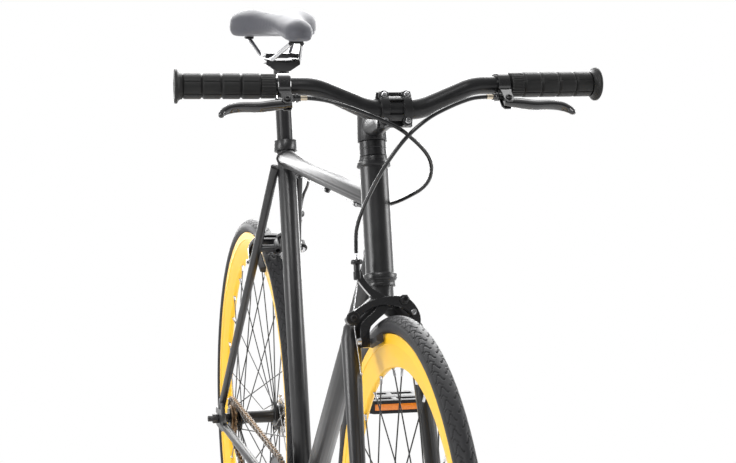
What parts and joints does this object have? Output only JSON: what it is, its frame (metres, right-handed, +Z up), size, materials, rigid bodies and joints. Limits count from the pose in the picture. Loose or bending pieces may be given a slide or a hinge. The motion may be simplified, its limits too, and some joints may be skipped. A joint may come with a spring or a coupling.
{
  "type": "bicycle",
  "caption": "Fixed gear bike with a satin black frame, yellow deep rims, riser bar, dual-pivot brakes, platform pedals and a padded saddle",
  "frame": {"origin": "on the ground under the middle of the wheelbase, in the mid-plane of the bicycle", "axes": "+X to the rider's left, away from the chain; +Y to the rear wheel; +Z up"},
  "size_m": [0.5444, 1.666, 1.0319],
  "materials": {
    "satin_black": "satin",
    "black_alloy": "satin",
    "gloss_black": "gloss",
    "yellow_rim": "gloss",
    "tyre_rubber": "matte",
    "grip_rubber": "matte",
    "pad_rubber": "matte",
    "cable_plastic": "satin",
    "pedal_plastic": "satin",
    "amber_reflector": "gloss",
    "bright_steel": "satin",
    "axle_steel": "satin",
    "chain_steel": "satin",
    "cog_steel": "satin",
    "saddle_vinyl": "satin"
  },
  "bodies": {
    "frame": {"head_tube": "satin_black", "top_tube": "satin_black", "down_tube": "satin_black", "seat_tube": "satin_black", "chain_stays": "satin_black", "seat_stays": "satin_black", "rear_axle": "axle_steel", "chain": "chain_steel", "rear_brake_cable": "cable_plastic"},
    "steering": {"fork_crown": "satin_black", "fork_blades": "satin_black", "stem": "black_alloy", "stem_faceplate": "black_alloy", "handlebar": "black_alloy", "grips": "grip_rubber", "lever_brackets": "black_alloy", "front_axle": "axle_steel", "front_brake_cable": "cable_plastic"},
    "front_wheel": {"front_tyre": "tyre_rubber", "front_rim": "yellow_rim", "front_hub": "black_alloy"},
    "rear_wheel": {"rear_tyre": "tyre_rubber", "rear_rim": "yellow_rim", "rear_hub": "black_alloy", "rear_cog": "cog_steel"},
    "freewheel": {"freewheel_ring": "bright_steel"},
    "crankset": {"chainring": "black_alloy", "right_crank": "black_alloy", "left_crank": "black_alloy", "crank_spindles": "bright_steel"},
    "pedal_left": {"left_pedal": "pedal_plastic", "left_reflectors": "amber_reflector"},
    "pedal_right": {"right_pedal": "pedal_plastic", "right_reflectors": "amber_reflector"},
    "lever_left": {"left_lever": "gloss_black"},
    "lever_right": {"right_lever": "gloss_black"},
    "front_side": {"front_side_arm": "black_alloy", "front_side_pad": "pad_rubber"},
    "front_arch": {"front_arch_arm": "black_alloy", "front_arch_pad": "pad_rubber"},
    "rear_side": {"rear_side_arm": "black_alloy", "rear_side_pad": "pad_rubber"},
    "rear_arch": {"rear_arch_arm": "black_alloy", "rear_arch_pad": "pad_rubber"},
    "seat": {"seatpost": "black_alloy", "saddle_clamp": "black_alloy", "saddle_rails": "bright_steel", "saddle": "saddle_vinyl"}
  },
  "joints": [
    {"name": "steer", "type": "hinge", "parent": "frame", "child": "steering", "pos_m": [0, -0.35172, 0.6975], "axis": [0, 0.2672, 0.9636], "range_deg": [-75, 75], "deforming": ["rear_brake_cable"]},
    {"name": "front_wheel_spin", "type": "hinge", "parent": "steering", "child": "front_wheel", "pos_m": [0, -0.495, 0.338], "axis": [1, 0, 0], "continuous": true},
    {"name": "rear_wheel_spin", "type": "hinge", "parent": "frame", "child": "rear_wheel", "pos_m": [0, 0.495, 0.338], "axis": [1, 0, 0], "continuous": true, "deforming": ["chain"]},
    {"name": "freewheel_spin", "type": "hinge", "parent": "rear_wheel", "child": "freewheel", "pos_m": [0, 0.495, 0.338], "axis": [1, 0, 0], "continuous": true},
    {"name": "crank_spin", "type": "hinge", "parent": "frame", "child": "crankset", "pos_m": [0, 0.09724, 0.277], "axis": [1, 0, 0], "continuous": true},
    {"name": "left_pedal_spin", "type": "hinge", "parent": "crankset", "child": "pedal_left", "pos_m": [0, 0.09724, 0.442], "axis": [1, 0, 0], "continuous": true},
    {"name": "right_pedal_spin", "type": "hinge", "parent": "crankset", "child": "pedal_right", "pos_m": [0, 0.09724, 0.112], "axis": [1, 0, 0], "continuous": true},
    {"name": "left_lever_pull", "type": "hinge", "parent": "steering", "child": "lever_left", "pos_m": [0.13884, -0.43454, 0.93376], "axis": [0.06, -0.5704, 0.8192], "range_deg": [0, 14], "stiffness_Nm_per_rad": 4, "deforming": ["front_brake_cable"]},
    {"name": "right_lever_pull", "type": "hinge", "parent": "steering", "child": "lever_right", "pos_m": [-0.13884, -0.43454, 0.93376], "axis": [0.06, 0.5704, -0.8192], "range_deg": [0, 14], "stiffness_Nm_per_rad": 4},
    {"name": "front_side_close", "type": "hinge", "parent": "steering", "child": "front_side", "pos_m": [0, -0.37628, 0.67629], "axis": [0, -0.9636, 0.2672], "range_deg": [0, 2.5]},
    {"name": "front_arch_close", "type": "hinge", "parent": "steering", "child": "front_arch", "pos_m": [0.02, -0.37574, 0.67822], "axis": [0, 0.9636, -0.2672], "range_deg": [0, 2.4]},
    {"name": "rear_side_close", "type": "hinge", "parent": "frame", "child": "rear_side", "pos_m": [0, 0.33566, 0.65836], "axis": [0, 0.8761, 0.4821], "range_deg": [0, 2.5]},
    {"name": "rear_arch_close", "type": "hinge", "parent": "frame", "child": "rear_arch", "pos_m": [-0.02, 0.33469, 0.66011], "axis": [0, -0.8761, -0.4821], "range_deg": [0, 2.4]},
    {"name": "seat_height", "type": "slide", "parent": "frame", "child": "seat", "axis": [0, 0.2823, 0.9593], "range_m": [-0.1, 0.03]}
  ],
  "couplings": [
    {"joint": "crank_spin", "follows": "rear_wheel_spin", "ratio": 0.36364},
    {"joint": "front_side_close", "follows": "left_lever_pull", "ratio": 0.17837},
    {"joint": "front_arch_close", "follows": "left_lever_pull", "ratio": 0.17123},
    {"joint": "rear_side_close", "follows": "right_lever_pull", "ratio": 0.17837},
    {"joint": "rear_arch_close", "follows": "right_lever_pull", "ratio": 0.17123}
  ]
}
